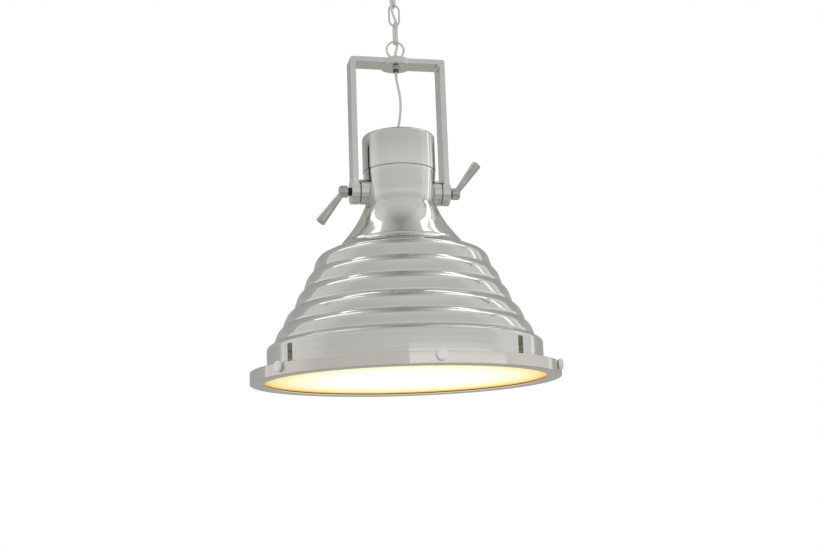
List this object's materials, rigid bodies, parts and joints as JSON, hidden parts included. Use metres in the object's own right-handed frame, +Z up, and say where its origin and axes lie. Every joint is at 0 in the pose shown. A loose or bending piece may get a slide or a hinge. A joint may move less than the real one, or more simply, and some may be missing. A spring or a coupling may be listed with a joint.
{
  "type": "pendant light",
  "caption": "Polished metal pendant lamp: ribbed cone shade with a lit glass, held in a flat-bar yoke with clamp levers, on a short chain under a ceiling canopy.",
  "frame": {"origin": "on the ceiling, at the centre of the mounting strap's top face, from which the lamp hangs", "axes": "+Z up into the ceiling, X along the yoke's tilt pivot, the lamp hangs towards -Z"},
  "size_m": [0.48, 0.4914, 0.7115],
  "materials": {
    "chrome": "polished",
    "nickel": "polished nickel",
    "dark_steel": "blackened",
    "steel": "satin zinc",
    "black_plastic": "moulded",
    "cord": "smooth pale sheath",
    "ceramic": "glazed",
    "brass": "plain",
    "bulb_glass": "clear",
    "opal_glass": "frosted, lit",
    "rubber": "matt"
  },
  "bodies": {
    "ceiling_fitting": {"ceiling_strap": "steel", "canopy": "chrome", "canopy_collar": "chrome", "ceiling_hook": "chrome", "canopy_cord_bush": "black_plastic", "terminal_block": "black_plastic", "cord_in_canopy": "cord"},
    "chain_link_top": {"link_top": "chrome", "cord_upper_1": "cord"},
    "chain_link_middle": {"link_middle": "chrome", "cord_upper_2": "cord"},
    "chain_link_lower": {"link_lower": "chrome", "cord_upper_3": "cord"},
    "yoke": {"yoke_frame": "chrome", "hanging_loop": "chrome", "stem_nut": "nickel", "yoke_cord_gland": "black_plastic", "cord_upper_4": "cord"},
    "lever_left": {"clamp_lever_left": "chrome", "clamp_stud_left": "dark_steel", "clamp_washer_left": "dark_steel"},
    "lever_right": {"clamp_lever_right": "chrome", "clamp_stud_right": "dark_steel", "clamp_washer_right": "dark_steel"},
    "shade": {"pivot_washer_left": "black_plastic", "pivot_washer_right": "black_plastic", "top_cap": "chrome", "cap_cord_gland": "black_plastic", "neck_housing": "chrome", "ribbed_shade": "chrome", "cord_lower": "cord", "cord_inside": "cord", "holder_plate": "steel", "housing_screw_1": "steel", "housing_screw_2": "steel", "housing_screw_3": "steel", "holder_nipple": "brass", "nipple_nut": "brass", "lampholder": "ceramic", "bulb_cap": "brass", "bulb_glass": "bulb_glass"},
    "glass_ring": {"bezel_ring": "chrome", "glass_gasket": "rubber", "diffuser_glass": "opal_glass"},
    "thumb_screw_1": {"thumb_screw_1": "nickel"},
    "thumb_screw_2": {"thumb_screw_2": "nickel"},
    "thumb_screw_3": {"thumb_screw_3": "nickel"},
    "thumb_screw_4": {"thumb_screw_4": "nickel"},
    "thumb_screw_5": {"thumb_screw_5": "nickel"},
    "thumb_screw_6": {"thumb_screw_6": "nickel"}
  },
  "joints": [
    {"name": "hook_swing", "type": "hinge", "parent": "ceiling_fitting", "child": "chain_link_top", "pos_m": [0, 0, -0.062], "axis": [1, 0, 0], "range_deg": [-25, 25], "deforming": ["cord_upper_1"]},
    {"name": "link_swing_upper", "type": "hinge", "parent": "chain_link_top", "child": "chain_link_middle", "pos_m": [0, 0, -0.0929], "axis": [0, 1, 0], "range_deg": [-25, 25], "deforming": ["cord_upper_2"]},
    {"name": "link_swing_lower", "type": "hinge", "parent": "chain_link_middle", "child": "chain_link_lower", "pos_m": [0, 0, -0.1247], "axis": [1, 0, 0], "range_deg": [-25, 25], "deforming": ["cord_upper_3"]},
    {"name": "loop_swing", "type": "hinge", "parent": "chain_link_lower", "child": "yoke", "pos_m": [0, 0, -0.1565], "axis": [0, 1, 0], "range_deg": [-25, 25], "deforming": ["cord_upper_4"]},
    {"name": "shade_tilt", "type": "hinge", "parent": "yoke", "child": "shade", "pos_m": [0, 0, -0.4085], "axis": [1, 0, 0], "range_deg": [-40, 40], "deforming": ["cord_lower"]},
    {"name": "lever_left_turn", "type": "hinge", "parent": "yoke", "child": "lever_left", "pos_m": [-0.09, 0, -0.4085], "axis": [-1, 0, 0], "range_deg": [-90, 90]},
    {"name": "lever_right_turn", "type": "hinge", "parent": "yoke", "child": "lever_right", "pos_m": [0.09, 0, -0.4085], "axis": [1, 0, 0], "range_deg": [-90, 90]},
    {"name": "glass_ring_lower", "type": "slide", "parent": "shade", "child": "glass_ring", "axis": [0, 0, -1], "range_m": [0, 0.06]},
    {"name": "thumb_screw_1_turn", "type": "hinge", "parent": "glass_ring", "child": "thumb_screw_1", "pos_m": [0, -0.24, -0.6995], "axis": [0, -1, 0], "continuous": true},
    {"name": "thumb_screw_2_turn", "type": "hinge", "parent": "glass_ring", "child": "thumb_screw_2", "pos_m": [0.20785, -0.12, -0.6995], "axis": [0.866, -0.5, 0], "continuous": true},
    {"name": "thumb_screw_3_turn", "type": "hinge", "parent": "glass_ring", "child": "thumb_screw_3", "pos_m": [0.20785, 0.12, -0.6995], "axis": [0.866, 0.5, 0], "continuous": true},
    {"name": "thumb_screw_4_turn", "type": "hinge", "parent": "glass_ring", "child": "thumb_screw_4", "pos_m": [0, 0.24, -0.6995], "axis": [0, 1, 0], "continuous": true},
    {"name": "thumb_screw_5_turn", "type": "hinge", "parent": "glass_ring", "child": "thumb_screw_5", "pos_m": [-0.20785, 0.12, -0.6995], "axis": [-0.866, 0.5, 0], "continuous": true},
    {"name": "thumb_screw_6_turn", "type": "hinge", "parent": "glass_ring", "child": "thumb_screw_6", "pos_m": [-0.20785, -0.12, -0.6995], "axis": [-0.866, -0.5, 0], "continuous": true}
  ]
}
